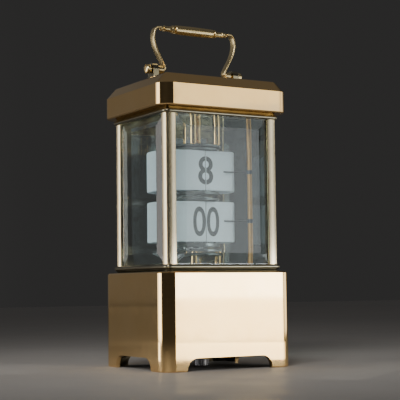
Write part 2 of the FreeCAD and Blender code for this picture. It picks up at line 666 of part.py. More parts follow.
def gear(at, count, module, z0, z1, bore, phase, windows=0, hub=0.0):
    """A flat spur gear: each tooth is a trapezoid, and phase is the angle of one tooth in degrees."""
    pitch_r = count * module / 2
    root, tip = pitch_r - 1.15 * module, pitch_r + 0.8 * module
    step = 360.0 / count
    points = []
    for i in range(count):
        middle = phase + i * step
        for share, radius in ((-0.27, root), (-0.09, tip), (0.09, tip), (0.27, root)):
            turn = math.radians(middle + share * step)
            x, y = at[0] + radius * math.cos(turn), at[1] + radius * math.sin(turn)
            points.append(FreeCAD.Vector(x, y, z0))
    wheel = Part.Face(Part.makePolygon(points + [points[0]])).extrude(FreeCAD.Vector(0, 0, z1 - z0))
    holes = []
    if bore:
        holes.append(cyl(at[0], at[1], z0 - 1, z1 + 1, bore))
    if windows:
        inner = max(hub, bore + 0.8)
        mid_r, hole_r = (root + inner) / 2, (root - inner) / 2 - 0.7
        for i in range(windows):
            turn = 2 * math.pi * i / windows
            x, y = at[0] + mid_r * math.cos(turn), at[1] + mid_r * math.sin(turn)
            holes.append(cyl(x, y, z0 - 1, z1 + 1, hole_r))
    return wheel.cut(Part.makeCompound(holes)) if holes else wheel


def mesh_phase(at_a, count_a, phase_a, at_b, count_b):
    """The phase that puts gear b in mesh with gear a."""
    line = math.degrees(math.atan2(at_b[1] - at_a[1], at_b[0] - at_a[0]))
    return line + 180.0 - (phase_a - line) * count_a / count_b + 180.0 / count_b


def arbor(at, radius):
    """A plain arbor between the plates, with a thin pivot at each end."""
    low, high = LOWER_PLATE_Z + PLATE_T, UPPER_PLATE_Z
    body = cyl(at[0], at[1], low + 0.2, high - 0.2, radius)
    pivots = cyl(at[0], at[1], low - 1.2, high + 1.2, PIVOT)
    return body.fuse(pivots)


def make_hour_arbor():
    top = TOP_BRIDGE_Z - 0.15
    return fuse([cyl(0, 0, 12.2, top, ARBOR_R), cyl(0, 0, 11.0, top + 1.1, PIVOT)])


def make_hour_wheel():
    phase = mesh_phase(MINUTE_WHEEL_AT, MINUTE_PINION, 0, AXIS, HOUR_TEETH)
    wheel = gear(AXIS, HOUR_TEETH, M_HOUR, 13.0, 13.8, ARBOR_R, phase, 5, 2.2)
    return wheel.fuse(cyl(0, 0, 13.8, 15.4, 1.8).cut(cyl(0, 0, 13, 16, ARBOR_R)))


def make_minute_pipe():
    return cyl(0, 0, 16.2, 81.6, PIPE_R).cut(cyl(0, 0, 10, 90, ARBOR_R + PLAY))


def make_cannon():
    return gear(AXIS, CANNON_TEETH, M_CANNON, 16.3, 18.6, PIPE_R - 0.35, 0).cut(cyl(0, 0, 10, 20, PIPE_R))


def minute_wheel_phase():
    return mesh_phase(AXIS, CANNON_TEETH, 0, MINUTE_WHEEL_AT, MINUTE_TEETH)


def make_minute_wheel():
    wheel = gear(MINUTE_WHEEL_AT, MINUTE_TEETH, M_CANNON, 16.8, 17.8, 0.65, minute_wheel_phase(), 5, 2.2)
    pinion = gear(MINUTE_WHEEL_AT, MINUTE_PINION, M_HOUR, 12.6, 16.8, 0.65, 0)
    return wheel.fuse(pinion)


def make_setting_knob():
    x, y = SETTING_AT
    phase = mesh_phase(MINUTE_WHEEL_AT, MINUTE_TEETH, minute_wheel_phase(), SETTING_AT, SETTING_TEETH)
    pinion = gear(SETTING_AT, SETTING_TEETH, M_CANNON, 16.4, 18.2, 0, phase)
    shaft = cyl(x, y, 4.0, 16.4, 0.9)
    knob = revolve([(1.4, 0.0), (1.4, 3.0), (1.8, 3.5), (4.4, 3.5), (4.8, 3.0), (4.8, 0.0)],
                   FreeCAD.Vector(x, y, 0), FreeCAD.Vector(0, 0, 1))
    flutes = []
    for i in range(18):
        turn = 2 * math.pi * i / 18
        flutes.append(cyl(x + 3.6 * math.cos(turn), y + 3.6 * math.sin(turn), 1, 5, 0.3))
    return fuse([pinion, shaft, knob.cut(Part.makeCompound(flutes))])


def make_centre_wheel():
    bore = PIPE_R + PLAY
    phase = mesh_phase(BARREL_AT, BARREL_TEETH, 0, AXIS, CENTRE_PINION)
    pinion = gear(AXIS, CENTRE_PINION, M_BARREL, 20.4, 32.0, 0, phase)
    wheel = gear(AXIS, CENTRE_TEETH, M_CENTRE, 32.0, 32.9, 0, 0, 5, 3.4)
    hub = cyl(0, 0, 32.9, 35.6, 2.4)
    return fuse([pinion, wheel, hub]).cut(cyl(0, 0, 18, 40, bore))


def make_barrel():
    x, y = BARREL_AT
    great = gear(BARREL_AT, BARREL_TEETH, M_BARREL, 21.0, 22.3, 0, 0)
    drum = cyl(x, y, 22.3, 31.4, 12.9)
    inside = cyl(x, y, 22.6, 30.6, 12.1)
    body = great.fuse(drum).cut(inside)
    return body.cut(cyl(x, y, 15, 40, 1.6 + PLAY))


def spiral_strip(at, r_in, thick, step, half_turns, z0, z1):
    """A coiled strip of half circles about two centres, step further out at each half turn."""
    x, y = at
    edges_in, edges_out = [], []
    for edge_list, extra in ((edges_in, 0.0), (edges_out, thick)):
        for i in range(half_turns):
            radius = r_in + i * step + extra
            cx = x if i % 2 == 0 else x + step
            way = 1 if i % 2 == 0 else -1
            a = FreeCAD.Vector(cx + way * radius, y, z0)
            b = FreeCAD.Vector(cx, y + way * radius, z0)
            c = FreeCAD.Vector(cx - way * radius, y, z0)
            edge_list.append((a, b, c))
    edges = [Part.Arc(*points).toShape() for points in edges_in + edges_out]
    edges.append(Part.LineSegment(edges_in[0][0], edges_out[0][0]).toShape())
    edges.append(Part.LineSegment(edges_in[-1][2], edges_out[-1][2]).toShape())
    wire = Part.Wire(Part.sortEdges(edges)[0])
    return Part.Face(wire).extrude(FreeCAD.Vector(0, 0, z1 - z0))


def make_mainspring():
    return spiral_strip(BARREL_AT, 2.6, 0.25, 0.62, 14, 23.0, 30.2)


def make_winding_arbor():
    x, y = BARREL_AT
    body = cyl(x, y, 12.2, 34.0, 1.6).fuse(cyl(x, y, 4.0, 12.2, 1.4)).fuse(cyl(x, y, 34.0, 37.7, 0.9))
    core = cyl(x, y, 22.9, 30.3, 2.3)
    return fuse([body, core])


def make_ratchet():
    x, y = BARREL_AT
    points = []
    count = 24
    for i in range(count):
        for share, radius in ((0.0, 5.4), (0.08, 6.3)):
            turn = math.radians((i + share) * 360.0 / count)
            points.append(FreeCAD.Vector(x + radius * math.cos(turn), y + radius * math.sin(turn), 13.0))
    wheel = Part.Face(Part.makePolygon(points + [points[0]])).extrude(FreeCAD.Vector(0, 0, 1.2))
    return wheel.cut(cyl(x, y, 10, 20, 1.6))


def make_click():
    """A short pawl on its own screw, with its beak in a gap of the ratchet wheel."""
    x, y = CLICK_AT
    body = cyl(x, y, 13.0, 14.2, 1.4)
    turn = math.radians(CLICK_TURN)
    tip = FreeCAD.Vector(BARREL_AT[0] + 6.1 * math.cos(turn), BARREL_AT[1] + 6.1 * math.sin(turn), 13.0)
    side = FreeCAD.Vector(x - tip.x, y - tip.y, 0)
    side.normalize()
    across = FreeCAD.Vector(-side.y, side.x, 0)
    root = FreeCAD.Vector(x, y, 13.0)
    outline = [tip, root + across * 1.2, root - across * 1.2, tip]
    beak = Part.Face(Part.makePolygon(outline)).extrude(FreeCAD.Vector(0, 0, 1.2))
    return fuse([body, beak]).cut(cyl(x, y, 12, 15, 0.65))


def make_winding_key():
    x, y = BARREL_AT
    hub = cyl(x, y, 1.2, 6.0, 2.4)
    wings = box(x - 0.7, x + 0.7, y - 7.0, y + 7.0, 1.0, 4.6)
    edges = [e for e in wings.Edges if abs(e.Length - 1.4) < 1e-6]
    wings = wings.makeFillet(1.5, edges)
    return fuse([hub, wings]).cut(cyl(x, y, 4.0, 7.0, 1.41))


def make_third_wheel():
    pinion_phase = mesh_phase(AXIS, CENTRE_TEETH, 0, THIRD_AT, THIRD_PINION)
    pinion = gear(THIRD_AT, THIRD_PINION, M_CENTRE, 31.4, 33.4, 0, pinion_phase)
    wheel = gear(THIRD_AT, THIRD_TEETH, M_THIRD, 28.0, 28.7, 0, 0, 5, 2.4)
    return fuse([arbor(THIRD_AT, 0.8), pinion, wheel])


def make_fourth_wheel():
    pinion_phase = mesh_phase(THIRD_AT, THIRD_TEETH, 0, FOURTH_AT, FOURTH_PINION)
    pinion = gear(FOURTH_AT, FOURTH_PINION, M_THIRD, 27.4, 29.3, 0, pinion_phase)
    wheel = gear(FOURTH_AT, FOURTH_TEETH, M_THIRD, 24.0, 24.7, 0, 0, 5, 2.4)
    return fuse([arbor(FOURTH_AT, 0.6), pinion, wheel])


def make_escape_wheel():
    """Fifteen slender raked teeth on a thin rim, with its pinion on the same arbor."""
    x, y = ESCAPE_AT
    pinion_phase = mesh_phase(FOURTH_AT, FOURTH_TEETH, 0, ESCAPE_AT, ESCAPE_PINION)
    pinion = gear(ESCAPE_AT, ESCAPE_PINION, M_THIRD, 23.4, 25.3, 0, pinion_phase)
    points = []
    for i in range(15):
        for turn_deg, radius in ((0.0, 3.1), (7.5, 4.2), (9.5, 4.15), (8.5, 3.1)):
            turn = math.radians(i * 24.0 + turn_deg)
            points.append(FreeCAD.Vector(x + radius * math.cos(turn), y + radius * math.sin(turn), 18.0))
    wheel = Part.Face(Part.makePolygon(points + [points[0]])).extrude(FreeCAD.Vector(0, 0, 0.6))
    return fuse([arbor(ESCAPE_AT, 0.5), pinion, wheel])


def make_lever():
    """Pallet arms either side of the escape wheel, and a fork toward the balance."""
    solids = [box(-0.55, 0.55, -2.2, 2.2, 18.0, 18.6), box(-6.2, 0.0, -0.35, 0.35, 18.0, 18.6)]
    solids += [box(0.1, 0.9, s * 2.2 - 0.3, s * 2.2 + 0.3, 17.8, 18.8) for s in (-1, 1)]
    solids += [box(-7.4, -6.1, s * 1.5 - 0.2, s * 1.5 + 0.2, 18.0, 18.6) for s in (-1, 1)]
    solids.append(box(-6.4, -6.1, -1.7, 1.7, 18.0, 18.6))
    lever = fuse(solids)
    turn = math.degrees(math.atan2(ESCAPE_AT[1] - LEVER_AT[1], ESCAPE_AT[0] - LEVER_AT[0]))
    lever.rotate(FreeCAD.Vector(0, 0, 0), FreeCAD.Vector(0, 0, 1), turn)
    lever.translate(FreeCAD.Vector(LEVER_AT[0], LEVER_AT[1], 0))
    return fuse([arbor(LEVER_AT, 0.45), lever])


def make_balance():
    x, y = BALANCE_AT
    rim = cyl(x, y, 22.4, 23.6, 5.6).cut(cyl(x, y, 22, 24, 4.8))
    arms = box(x - 5.0, x + 5.0, y - 0.5, y + 0.5, 22.7, 23.3)
    roller = cyl(x, y, 19.6, 20.2, 2.0)
    pin_turn = math.atan2(LEVER_AT[1] - y, LEVER_AT[0] - x)
    pin = cyl(x + 1.4 * math.cos(pin_turn), y + 1.4 * math.sin(pin_turn), 18.2, 19.6, 0.2)
    return fuse([arbor(BALANCE_AT, 0.5), rim, arms, roller, pin])


def make_hairspring():
    return spiral_strip(BALANCE_AT, 1.0, 0.1, 0.28, 10, 26.0, 26.5)


def make_lower_plate():
    z0, z1 = LOWER_PLATE_Z, LOWER_PLATE_Z + PLATE_T
    plate = rounded_slab(2 * PLATE_X, 2 * PLATE_Y, 3.0, z0, z1)
    plate = plate.fuse(cyl(*MINUTE_WHEEL_AT, z1, 18.4, 0.6)).fuse(cyl(*CLICK_AT, z1, 15.0, 0.6))
    holes = [cyl(*at, z1 - 1.25, z1 + 0.05, PIVOT + PLAY)
             for at in (THIRD_AT, FOURTH_AT, ESCAPE_AT, LEVER_AT, BALANCE_AT, AXIS)]
    holes.append(cyl(*BARREL_AT, z0 - 1, z1 + 1, 1.4 + PLAY))
    holes.append(cyl(*SETTING_AT, z0 - 1, z1 + 1, 0.9 + PLAY))
    holes += [cyl(x, y, z0 - 1, z1 + 1, SCREW_CLEAR) for x, y in corners(*MOVEMENT_SCREWS)]
    return plate.cut(fuse(holes))


def make_upper_plate():
    z0, z1 = UPPER_PLATE_Z, UPPER_PLATE_Z + PLATE_T
    plate = rounded_slab(2 * PLATE_X, 2 * PLATE_Y, 3.0, z0, z1)
    holes = [cyl(*at, z0 - 0.05, z0 + 1.25, PIVOT + PLAY)
             for at in (THIRD_AT, FOURTH_AT, ESCAPE_AT, LEVER_AT, BALANCE_AT)]
    holes.append(cyl(*BARREL_AT, z0 - 1, z1 + 1, 0.9 + PLAY))
    holes.append(cyl(0, 0, z0 - 1, z1 + 1, PIPE_R + PLAY))
    holes += [cyl(x, y, z0 - 1, z1 + 1, SCREW_CLEAR) for x, y in corners(*MOVEMENT_SCREWS)]
    return plate.cut(fuse(holes))


def make_movement_pillars():
    solids = []
    for x, y in corners(*MOVEMENT_SCREWS):
        z0, z1 = LOWER_PLATE_Z + PLATE_T, UPPER_PLATE_Z
        taps = [cyl(x, y, z0 - 1, z0 + 6.2, SCREW_TAP), cyl(x, y, z1 - 6.5, z1 + 1, SCREW_TAP)]
        solids.append(cyl(x, y, z0, z1, MOVEMENT_POST_R).cut(fuse(taps)))
        z0, z1 = UPPER_PLATE_Z + PLATE_T, BASE_TOP - WALL
        solids.append(cyl(x, y, z0, z1, MOVEMENT_POST_R).cut(cyl(x, y, z0 - 1, z1 + 1, SCREW_CLEAR)))
    return Part.makeCompound(solids)


def make_movement_screws():
    solids = []
    for x, y in corners(*MOVEMENT_SCREWS):
        solids.append(screw(x, y, LOWER_PLATE_Z - 1.0, LOWER_PLATE_Z + 7.0, SCREW_R, SCREW_HEAD_R, 1.0))
        solids.append(screw(x, y, BASE_TOP - 0.02, UPPER_PLATE_Z - 5.5, SCREW_R, SCREW_HEAD_R, 0.95))
    return Part.makeCompound(solids)


def make_hour_discs():
    return make_discs(HOUR_COUNT, HOUR_DISCS, ARBOR_R)


def make_minute_discs():
    return make_discs(MINUTE_COUNT, MINUTE_DISCS, PIPE_R)


def build_nodes():
    nodes = {
        "base_shell": make_base_shell(),
        "bottom_cover": make_bottom_cover(),
        "lower_frame": make_frame_plate(False),
        "upper_frame": make_frame_plate(True),
        "pillar_screws": make_pillar_screws(),
        "top_cover": make_top_cover(),
        "case_screws": make_case_screws(),
        "handle_brackets": make_brackets(),
        "handle_grip": make_grip(),
        "handle_arm_left": make_arm(-1),
        "handle_arm_right": make_arm(1),
        "handle_pivot_screws": make_pivot_screws(),
        "door_frame": make_door_frame(),
        "door_glass": make_door_glass(),
        "door_knob": make_door_knob(),
        "door_hinge_pins": make_hinge_pins(),
        "top_bridge": make_bridge(TOP_BRIDGE_Z, PIVOT + PLAY, 1),
        "lower_bridge": make_bridge(LOW_BRIDGE_Z, PIPE_R + PLAY, -1),
        "bridge_posts": make_posts(),
        "finger_rod": make_finger_rod(),
        "hour_finger": make_finger(FINGER_Z[0]),
        "minute_finger": make_finger(FINGER_Z[1]),
        "hour_arbor": make_hour_arbor(),
        "hour_discs": make_hour_discs(),
        "hour_leaf_wires": make_wires(HOUR_COUNT, HOUR_DISCS),
        "hour_leaves": make_leaves(HOUR_COUNT, HOUR_LEAF),
        "hour_turning_leaf": make_leaf(0, HOUR_COUNT, HOUR_LEAF),
        "hour_wheel": make_hour_wheel(),
        "minute_pipe": make_minute_pipe(),
        "minute_discs": make_minute_discs(),
        "minute_leaf_wires": make_wires(MINUTE_COUNT, MINUTE_DISCS),
        "minute_leaves": make_leaves(MINUTE_COUNT, MINUTE_LEAF),
        "minute_turning_leaf": make_leaf(0, MINUTE_COUNT, MINUTE_LEAF),
        "cannon_pinion": make_cannon(),
        "minute_wheel": make_minute_wheel(),
        "setting_knob": make_setting_knob(),
        "centre_wheel": make_centre_wheel(),
        "barrel": make_barrel(),
        "mainspring": make_mainspring(),
        "winding_arbor": make_winding_arbor(),
        "ratchet_wheel": make_ratchet(),
        "winding_key": make_winding_key(),
        "click": make_click(),
        "third_wheel": make_third_wheel(),
        "fourth_wheel": make_fourth_wheel(),
        "escape_wheel": make_escape_wheel(),
        "pallet_lever": make_lever(),
        "balance_wheel": make_balance(),
        "hairspring": make_hairspring(),
        "movement_lower_plate": make_lower_plate(),
        "movement_upper_plate": make_upper_plate(),
        "movement_pillars": make_movement_pillars(),
        "movement_screws": make_movement_screws(),
    }
    for side in ("front", "left", "right"):
        nodes[side + "_glass"] = make_glass(side)
    for sx, x_name in ((-1, "left"), (1, "right")):
        for sy, y_name in ((-1, "front"), (1, "rear")):
            nodes["pillar_" + y_name + "_" + x_name] = make_pillar(sx, sy)
    return nodes


def main():
    os.makedirs("parts", exist_ok=True)
    for name, shape in build_nodes().items():
        solids = shape.Solids
        whole = solids[0] if len(solids) == 1 else Part.makeCompound(solids)
        whole.exportStep("parts/" + name + ".step")
        flaw = "" if shape.isValid() and all(s.Volume > 0 for s in solids) else "  INVALID"
        print(f"{name}: {len(solids)} solids, {len(shape.Faces)} faces{flaw}")


main()
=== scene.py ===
import json
import math

import bmesh
import bpy
from mathutils import Matrix, Vector


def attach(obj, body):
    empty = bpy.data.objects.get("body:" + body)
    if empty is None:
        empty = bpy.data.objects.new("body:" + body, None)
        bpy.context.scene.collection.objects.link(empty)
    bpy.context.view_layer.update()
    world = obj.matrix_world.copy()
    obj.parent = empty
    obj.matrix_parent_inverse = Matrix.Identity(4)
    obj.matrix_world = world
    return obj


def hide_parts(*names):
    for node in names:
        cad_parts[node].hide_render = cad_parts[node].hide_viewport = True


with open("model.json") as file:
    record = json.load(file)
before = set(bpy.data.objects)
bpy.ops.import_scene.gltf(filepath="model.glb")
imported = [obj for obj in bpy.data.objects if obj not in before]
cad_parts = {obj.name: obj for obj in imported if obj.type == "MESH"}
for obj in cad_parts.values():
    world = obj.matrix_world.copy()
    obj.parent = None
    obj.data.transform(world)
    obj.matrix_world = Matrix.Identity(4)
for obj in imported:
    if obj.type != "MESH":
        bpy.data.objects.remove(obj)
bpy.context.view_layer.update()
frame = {"nodes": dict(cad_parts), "record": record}
nodes = frame["nodes"]
MM = 0.001


# ---------------------------------------------------------------- materials


class Nodes:
    """A material's node tree, with one method for each kind of step that the finishes share."""

    def __init__(self, name):
        self.material = bpy.data.materials.new(name)
        self.material.use_nodes = True
        self.tree = self.material.node_tree
        self.shader = self.tree.nodes["Principled BSDF"]
        self.where = self.tree.nodes.new("ShaderNodeTexCoord").outputs["Object"]

    def new(self, kind, **settings):
        node = self.tree.nodes.new(kind)
        for key, value in settings.items():
            setattr(node, key, value)
        return node

    def link(self, source, target):
        self.tree.links.new(source, target)

    def set(self, **values):
        for key, value in values.items():
            self.shader.inputs[key.replace("_", " ")].default_value = value

    def stretched(self, x, y, z):
        node = self.new("ShaderNodeMapping")
        node.inputs["Scale"].default_value = (x, y, z)
        self.link(self.where, node.inputs["Vector"])
        return node.outputs["Vector"]

    def noise(self, scale, detail=4.0, rough=0.55, vector=None):
        node = self.new("ShaderNodeTexNoise")
        node.inputs["Scale"].default_value = scale
        node.inputs["Detail"].default_value = detail
        node.inputs["Roughness"].default_value = rough
        self.link(vector or self.where, node.inputs["Vector"])
        return node.outputs["Fac"]

    def remap(self, value, low, high, from_low=0.3, from_high=0.7):
        node = self.new("ShaderNodeMapRange")
        node.inputs["From Min"].default_value = from_low
        node.inputs["From Max"].default_value = from_high
        node.inputs["To Min"].default_value = low
        node.inputs["To Max"].default_value = high
        self.link(value, node.inputs["Value"])
        return node.outputs["Result"]

    def blend(self, factor, first, second):
        node = self.new("ShaderNodeMix", data_type="RGBA")
        for name, colour in (("A", first), ("B", second)):
            socket = [s for s in node.inputs if s.name == name and s.type == "RGBA"][0]
            if hasattr(colour, "default_value"):
                self.link(colour, socket)
            else:
                socket.default_value = (*colour, 1.0)
        self.link(factor, node.inputs["Factor"])
        return [s for s in node.outputs if s.type == "RGBA"][0]

    def maths(self, operation, first, second=0.0):
        node = self.new("ShaderNodeMath", operation=operation)
        self.link(first, node.inputs[0])
        if hasattr(second, "default_value"):
            self.link(second, node.inputs[1])
        else:
            node.inputs[1].default_value = second
        return node.outputs["Value"]

    def outside(self, half_x, half_y):
        """One on a body's outer skin, beyond these half sizes from the clock's middle, and zero inside."""
        split = self.new("ShaderNodeSeparateXYZ")
        self.link(self.where, split.inputs["Vector"])
        far_x = self.maths("GREATER_THAN", self.maths("ABSOLUTE", split.outputs["X"]), half_x)
        far_y = self.maths("GREATER_THAN", self.maths("ABSOLUTE", split.outputs["Y"]), half_y)
        return self.maths("MAXIMUM", far_x, far_y)

    def colour(self, socket):
        self.link(socket, self.shader.inputs["Base Color"])

    def roughness(self, socket):
        self.link(socket, self.shader.inputs["Roughness"])

    def bump(self, height, strength, distance):
        node = self.new("ShaderNodeBump")
        node.inputs["Strength"].default_value = strength
        node.inputs["Distance"].default_value = distance
        self.link(height, node.inputs["Height"])
        self.link(node.outputs["Normal"], self.shader.inputs["Normal"])


# Half width and half depth beyond which the brass is polished, and within which its inner faces are painted
# dark as shade inside the case, in metres.
OUTER_SKIN = (0.0295, 0.0257)       # the pillars and the rear door
BASE_SKIN = (0.0329, 0.0291)
MARK_DEPTH = 0.00002                # how deep the polishing marks and the paper's grain are, in metres
POLISHED = ((0.96, 0.67, 0.32), (0.93, 0.62, 0.27))


def metal(name, light, dark, rough_low, rough_high, scale=60.0, grain=(1.0, 1.0, 6.0), marks=0.02,
          inside=None, skin=None):
    """A metal whose tone and gloss drift a little, with fine marks. Its inner faces may be painted dark, as
    shade inside the case.
    """
    m = Nodes(name)
    m.set(Metallic=1.0)
    tone = m.blend(m.remap(m.noise(scale), 0.0, 1.0), light, dark)
    if inside:
        tone = m.blend(m.outside(*skin), inside, tone)
    m.colour(tone)
    m.roughness(m.remap(m.noise(scale * 4, 6.0), rough_low, rough_high))
    m.bump(m.noise(900.0, 2.0, vector=m.stretched(*grain)), marks, MARK_DEPTH)
    return m.material


def brushed(name, light, dark, painted_shade, rough, spread):
    """Metal drawn along its length, which spreads a reflection across the grain, with its inner faces painted
    dark as shade inside the case.
    """
    m = Nodes(name)
    m.set(Metallic=1.0, Roughness=rough, Anisotropic=spread)
    tone = m.blend(m.remap(m.noise(60.0), 0.0, 1.0), light, dark)
    m.colour(m.blend(m.outside(*OUTER_SKIN), painted_shade, tone))
    round_z = m.new("ShaderNodeTangent", direction_type="RADIAL", axis="Z")
    m.link(round_z.outputs["Tangent"], m.shader.inputs["Tangent"])
    m.bump(m.noise(700.0, 3.0, vector=m.stretched(6.0, 6.0, 0.05)), 0.05, MARK_DEPTH)
    return m.material


BRASS = metal("brass_polished", *POLISHED, 0.05, 0.10, scale=45.0)
# The pillars' inner faces are painted near black, as shade inside the case.
BRASS_DRAWN = brushed("brass_drawn", (0.98, 0.84, 0.56), (0.95, 0.78, 0.48), (0.12, 0.10, 0.06), 0.24, 0.9)
BRASS_SATIN = metal("brass_satin", (0.74, 0.42, 0.16), (0.62, 0.34, 0.12), 0.30, 0.42, grain=(1.0, 1.0, 8.0))
# The door's inner faces, the base's inside and the bottom cover are painted dark, as shade inside the case
# and under it.
BRASS_DOOR = metal("brass_door", *POLISHED, 0.16, 0.24, inside=(0.10, 0.088, 0.055), skin=OUTER_SKIN)
BRASS_BASE = metal("brass_base", *POLISHED, 0.05, 0.10, scale=45.0, inside=(0.07, 0.06, 0.04), skin=BASE_SKIN)
# A dark dull brass painted as shade, for the frame plates in the recesses under the cap and above the base;
# the handle brackets share it.
BRASS_SHADED = metal("brass_painted_shade", (0.34, 0.31, 0.225), (0.27, 0.245, 0.18), 0.16, 0.24, marks=0.01)
BRASS_HANDLE = metal("brass_handle", (0.82, 0.66, 0.36), (0.72, 0.57, 0.30), 0.24, 0.32, marks=0.005)
BRASS_INNER = metal("brass_grained", (0.80, 0.62, 0.33), (0.70, 0.52, 0.26), 0.18, 0.30,
                    grain=(1.0, 12.0, 1.0))
STEEL = metal("steel_polished", (0.66, 0.66, 0.68), (0.56, 0.56, 0.58), 0.12, 0.22)
# Its dark grey is partly painted shade: the drum discs and bridges between the leaf rows are darkened for the
# shade there.
SATIN = metal("satin_metal", (0.26, 0.28, 0.28), (0.18, 0.20, 0.20), 0.25, 0.38, grain=(12.0, 1.0, 1.0))
# Its near black is partly painted shade: the winding key and setting knob under the base are darkened to sink
# into the shade there.
DARK_STEEL = metal("dark_steel", (0.16, 0.16, 0.18), (0.10, 0.10, 0.11), 0.25, 0.40)
BLUED = metal("blued_spring", (0.20, 0.26, 0.45), (0.14, 0.18, 0.34), 0.18, 0.30)


def leaf_material():
    m = Nodes("leaf_card")
    m.colour(m.blend(m.remap(m.noise(120.0), 0.0, 1.0), (0.62, 0.68, 0.79), (0.57, 0.63, 0.73)))
    m.roughness(m.remap(m.noise(400.0), 0.32, 0.48))
    m.bump(m.noise(900.0), 0.05, MARK_DEPTH)
    return m.material


def glass_material():
    m = Nodes("bevelled_glass")
    m.set(Transmission_Weight=1.0, IOR=1.52)
    m.colour(m.blend(m.remap(m.noise(30.0), 0.0, 1.0), (0.89, 0.97, 0.95), (0.86, 0.955, 0.93)))
    m.roughness(m.remap(m.noise(220.0), 0.0, 0.012))
    clear = m.new("ShaderNodeBsdfTransparent")
    clear.inputs["Color"].default_value = (0.9, 0.95, 0.93, 1.0)
    path = m.new("ShaderNodeLightPath")
    mix = m.new("ShaderNodeMixShader")
    m.link(path.outputs["Is Shadow Ray"], mix.inputs["Fac"])
    m.link(m.shader.outputs["BSDF"], mix.inputs[1])
    m.link(clear.outputs["BSDF"], mix.inputs[2])
    m.link(mix.outputs["Shader"], m.tree.nodes["Material Output"].inputs["Surface"])
    return m.material


def ink_material():
    m = Nodes("printed_ink")
    m.colour(m.blend(m.remap(m.noise(300.0), 0.0, 1.0), (0.018, 0.02, 0.024), (0.035, 0.038, 0.044)))
    m.roughness(m.remap(m.noise(500.0), 0.4, 0.55))
    return m.material


LEAF = leaf_material()
INK = ink_material()
GLASS = glass_material()

FINISH = {
    "polished_brass": BRASS, "movement_brass": BRASS_INNER, "polished_steel": STEEL, "satin_metal": SATIN,
    "dark_steel": DARK_STEEL, "spring_steel": BLUED, "leaf_card": LEAF, "bevelled_glass": GLASS,
}

# CAD nodes whose finish isn't the one of their material slot.
SPECIAL = {
    "base_shell": BRASS_BASE, "bottom_cover": BRASS_BASE,
    # The frame plates and the handle brackets take the brass that is painted dark as shade.
    "door_frame": BRASS_DOOR, "finger_rod": BRASS_SATIN, "upper_frame": BRASS_SHADED, "lower_frame": BRASS_SHADED,
    "handle_brackets": BRASS_SHADED, "handle_pivot_screws": BRASS_HANDLE, "handle_grip": BRASS_HANDLE,
    "handle_arm_left": BRASS_HANDLE, "handle_arm_right": BRASS_HANDLE,
}
for end in ("front", "rear"):
    SPECIAL.update({f"pillar_{end}_left": BRASS_DRAWN, f"pillar_{end}_right": BRASS_DRAWN})


def finish_cad_nodes():
    for entry in frame["record"]["subparts"]:
        mesh = nodes[entry["node"]].data
        mesh.materials.clear()
        mesh.materials.append(SPECIAL.get(entry["node"], FINISH[entry["material_slot"]]))


finish_cad_nodes()


# ---------------------------------------------------------------- pieces


def new_piece(name, mesh, material, body, slot, *replaced):
    """Make an object of a bmesh in millimetres, and ride it on a body in place of some CAD nodes."""
    bmesh.ops.scale(mesh, vec=(MM, MM, MM), verts=mesh.verts)
    data = bpy.data.meshes.new(name)
    mesh.to_mesh(data)
    mesh.free()
    data.materials.append(material)
    piece = bpy.data.objects.new(name, data)
    bpy.context.scene.collection.objects.link(piece)
    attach(piece, body)
    if replaced:
        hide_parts(*replaced)
    return piece


def smooth(piece, angle=40.0):
    """Shade smoothly, with the edges sharper than an angle kept crisp."""
    mesh = bmesh.new()
    mesh.from_mesh(piece.data)
    for face in mesh.faces:
        face.smooth = True
    for edge in mesh.edges:
        edge.smooth = len(edge.link_faces) == 2 and edge.calc_face_angle(0.0) < math.radians(angle)
    mesh.to_mesh(piece.data)
    mesh.free()


def prism(mesh, outline, low, high, place):
    """A closed plate: an outline in its own plane, thick from low to high, put in space by place(u, v, w)."""
    rings = [[mesh.verts.new(place(u, v, w)) for u, v in outline] for w in (low, high)]
    count = len(outline)
    for i in range(count):
        j = (i + 1) % count
        mesh.faces.new((rings[0][i], rings[0][j], rings[1][j], rings[1][i]))
    mesh.faces.new(list(reversed(rings[0])))
    mesh.faces.new(rings[1])


# ---- leaves and their numerals (millimetres)

RING_R = 9.2            # the ring of wires that the leaves hang on
LEAF_END = 14.6         # a leaf's two ends, along it from its wire
LEAF_START = 0.2
RIGHT_EDGE = 0.04       # the two front leaves reach past their wires, this far from the middle line
LEFT_EDGE = 0.29
LEAF_OFF = 0.17         # a leaf hangs beside its wire, not on its axis
LEAF_HALF_T = 0.03
LEAF_CORNER = 0.4
FAN_FROM = 3.0          # the leaves behind the front two are fanned over this sweep, in degrees
FAN_SWEEP = 174.0
CURL_R = 0.19           # the knuckles that wrap round the wire
CURL_IN = 0.4           # how far the end knuckles are from the leaf's corners
INK_T = 0.018
INK_SPREAD = 0.012      # how much the font's strokes are fattened
SPLIT = 0.34            # half the gap between the two halves of a numeral
HOUR_LEVELS = (84.9, 104.2)
MINUTE_LEVELS = (60.1, 79.5)
HOUR_SIZES = {1: (8.4, 13.8), 2: (13.0, 13.8)}      # a numeral's width and height, by its number of digits
MINUTE_SIZES = {2: (14.6, 14.4)}


def leaf_angle(k, count):
    if k in (0, count - 1):
        return 0.0 if k == 0 else math.pi
    return math.radians(FAN_FROM + FAN_SWEEP * (k - 1) / (count - 3))


def hinge_x(count):
    """How far the two front wires are from the middle line."""
    return RING_R * math.sin(math.pi / count)


def leaf_place(k, count):
    """How a point (s along the leaf, height, m across it) of leaf k lies in space."""
    turn = math.radians(-90.0 + (k + 0.5) * 360.0 / count)
    wire = Vector((RING_R * math.cos(turn), RING_R * math.sin(turn), 0.0))
    angle = leaf_angle(k, count)
    along = Vector((math.cos(angle), math.sin(angle), 0.0))
    across = Vector((-math.sin(angle), math.cos(angle), 0.0))
    return lambda s, z, m: wire + s * along + m * across + Vector((0.0, 0.0, z))


